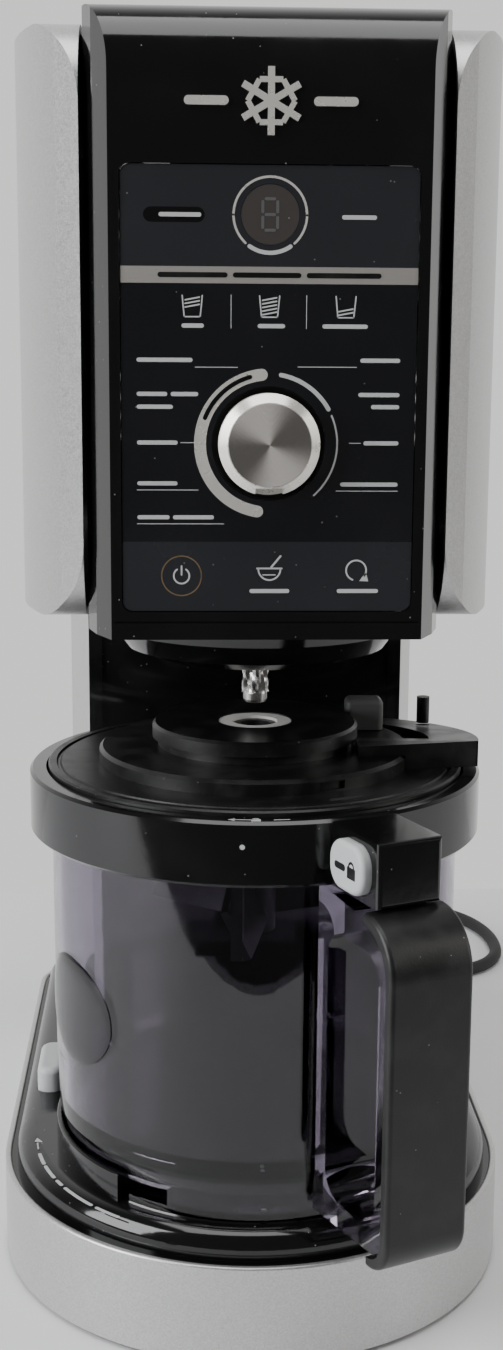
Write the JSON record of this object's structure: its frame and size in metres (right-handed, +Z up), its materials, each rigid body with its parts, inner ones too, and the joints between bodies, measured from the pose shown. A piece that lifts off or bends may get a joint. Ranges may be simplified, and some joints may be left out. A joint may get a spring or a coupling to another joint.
{
  "type": "ice cream maker",
  "caption": "Countertop ice cream maker: motor head with dial and panel, lift-and-twist clear bowl with handle and paddle lid, on a base with a mains lead.",
  "frame": {"origin": "on the worktop, in the middle of the machine's footprint with the handle, lead left out", "axes": "+Z up, front with dial and panel towards -Y, +X to the right seen from the front"},
  "size_m": [0.2478, 0.4999, 0.434],
  "materials": {
    "silver": "satin",
    "black_gloss": "gloss",
    "black_satin": "satin",
    "clear_smoke": "gloss",
    "panel": "satin",
    "display": "gloss",
    "stripe": "satin",
    "bright_metal": "polished",
    "spun_metal": "spun",
    "grey_key": "satin",
    "latch_grey": "satin",
    "steel": "machined",
    "plate_metal": "satin",
    "white_nylon": "matte",
    "bronze": "satin",
    "motor_can": "satin",
    "paddle_black": "satin",
    "board": "satin",
    "rubber": "matte"
  },
  "bodies": {
    "base": {"base_plate": "black_satin", "feet": "rubber", "case_screws": "steel", "base_band": "silver", "base_deck": "black_gloss", "bowl_guard": "black_gloss", "lift_post": "steel", "power_board": "board", "tower_front": "black_gloss", "tower_strips": "silver", "rear_cover": "black_satin", "head_shell": "black_gloss", "side_panel_left": "silver", "side_panel_right": "silver", "control_panel": "panel", "panel_stripe": "stripe", "display_window": "display", "dial_well": "black_satin", "encoder_body": "motor_can", "control_board": "board", "display_module": "board", "badge": "bright_metal", "spindle_drum": "black_gloss", "guide_rods": "steel", "feed_motor": "motor_can", "feed_bracket": "plate_metal", "strain_relief": "black_satin", "power_cord": "rubber", "cord_coil": "rubber", "mains_plug": "rubber"},
    "release_button": {"release_button": "grey_key"},
    "lift_carrier": {"lift_carrier": "white_nylon"},
    "turntable": {"turntable": "black_gloss"},
    "bowl": {"bowl_shell": "clear_smoke", "bowl_collar": "black_gloss", "handle_frame": "clear_smoke", "handle_grip": "black_satin", "lock_housing": "black_gloss"},
    "lid_button": {"lid_button": "grey_key"},
    "lid": {"lid_disc": "black_satin", "lid_seal": "rubber", "lid_cap": "black_satin", "latch_housing": "black_satin"},
    "paddle_latch": {"paddle_latch": "latch_grey"},
    "interlock_peg": {"interlock_peg": "black_satin"},
    "hub_bushing": {"hub_bushing": "white_nylon"},
    "paddle": {"paddle": "paddle_black"},
    "carriage": {"carriage_plate": "plate_metal", "feed_nut": "white_nylon", "gear_case": "white_nylon", "drive_motor": "motor_can", "spindle_bearing": "bronze"},
    "spindle": {"spindle": "steel", "spindle_gear": "white_nylon"},
    "motor_pinion": {"motor_pinion": "white_nylon", "motor_shaft": "steel"},
    "lead_screw": {"lead_screw": "steel"},
    "dial_carrier": {"encoder_shaft": "steel"},
    "dial": {"dial_knob": "bright_metal", "dial_face": "spun_metal"}
  },
  "joints": [
    {"name": "release_press", "type": "slide", "parent": "base", "child": "release_button", "axis": [0, 0, -1], "range_m": [0, 0.004], "stiffness_N_per_m": 500, "springref_m": -0.002},
    {"name": "platform_lift", "type": "slide", "parent": "base", "child": "lift_carrier", "axis": [0, 0, 1], "range_m": [0, 0.021]},
    {"name": "platform_twist", "type": "hinge", "parent": "lift_carrier", "child": "turntable", "pos_m": [0, -0.042, 0.043], "axis": [0, 0, 1], "range_deg": [0, 50.1]},
    {"name": "bowl_seat", "type": "slide", "parent": "turntable", "child": "bowl", "axis": [0, 0, -1], "range_m": [-0.006, 0]},
    {"name": "lid_button_press", "type": "slide", "parent": "bowl", "child": "lid_button", "axis": [0.9178, 0.3971, 0], "range_m": [0, 0.0022], "stiffness_N_per_m": 600, "springref_m": -0.002},
    {"name": "lid_twist", "type": "hinge", "parent": "bowl", "child": "lid", "pos_m": [0, -0.042, 0.188], "axis": [0, 0, 1], "range_deg": [0, 25]},
    {"name": "latch_push", "type": "slide", "parent": "lid", "child": "paddle_latch", "axis": [1, 0, 0], "range_m": [0, 0.003], "stiffness_N_per_m": 600, "springref_m": -0.002},
    {"name": "peg_press", "type": "slide", "parent": "lid", "child": "interlock_peg", "axis": [0, 0, -1], "range_m": [0, 0.003], "stiffness_N_per_m": 400, "springref_m": -0.002},
    {"name": "hub_spin", "type": "hinge", "parent": "lid", "child": "hub_bushing", "pos_m": [0, -0.042, 0.2], "axis": [0, 0, 1], "continuous": true},
    {"name": "paddle_feed", "type": "slide", "parent": "hub_bushing", "child": "paddle", "axis": [0, 0, -1], "range_m": [0, 0.0581]},
    {"name": "spindle_feed", "type": "slide", "parent": "base", "child": "carriage", "axis": [0, 0, -1], "range_m": [0, 0.058]},
    {"name": "spindle_spin", "type": "hinge", "parent": "carriage", "child": "spindle", "pos_m": [0, -0.042, 0.35], "axis": [0, 0, 1], "continuous": true},
    {"name": "pinion_spin", "type": "hinge", "parent": "carriage", "child": "motor_pinion", "pos_m": [0, 0.02, 0.35], "axis": [0, 0, 1], "continuous": true},
    {"name": "screw_spin", "type": "hinge", "parent": "base", "child": "lead_screw", "pos_m": [0, 0.09, 0.3], "axis": [0, 0, 1], "range_deg": [0, 1745]},
    {"name": "dial_press", "type": "slide", "parent": "base", "child": "dial_carrier", "axis": [0, 1, 0], "range_m": [0, 0.0012], "stiffness_N_per_m": 800, "springref_m": -0.001},
    {"name": "dial_turn", "type": "hinge", "parent": "dial_carrier", "child": "dial", "pos_m": [0, -0.1157, 0.3052], "axis": [0, 1, 0], "continuous": true}
  ],
  "couplings": [
    {"joint": "platform_twist", "follows": "platform_lift", "rad_per_m": 41.555},
    {"joint": "hub_spin", "follows": "spindle_spin", "ratio": 1},
    {"joint": "pinion_spin", "follows": "spindle_spin", "ratio": -3},
    {"joint": "paddle_feed", "follows": "spindle_feed", "ratio": 1},
    {"joint": "screw_spin", "follows": "spindle_feed", "rad_per_m": 523.6}
  ]
}
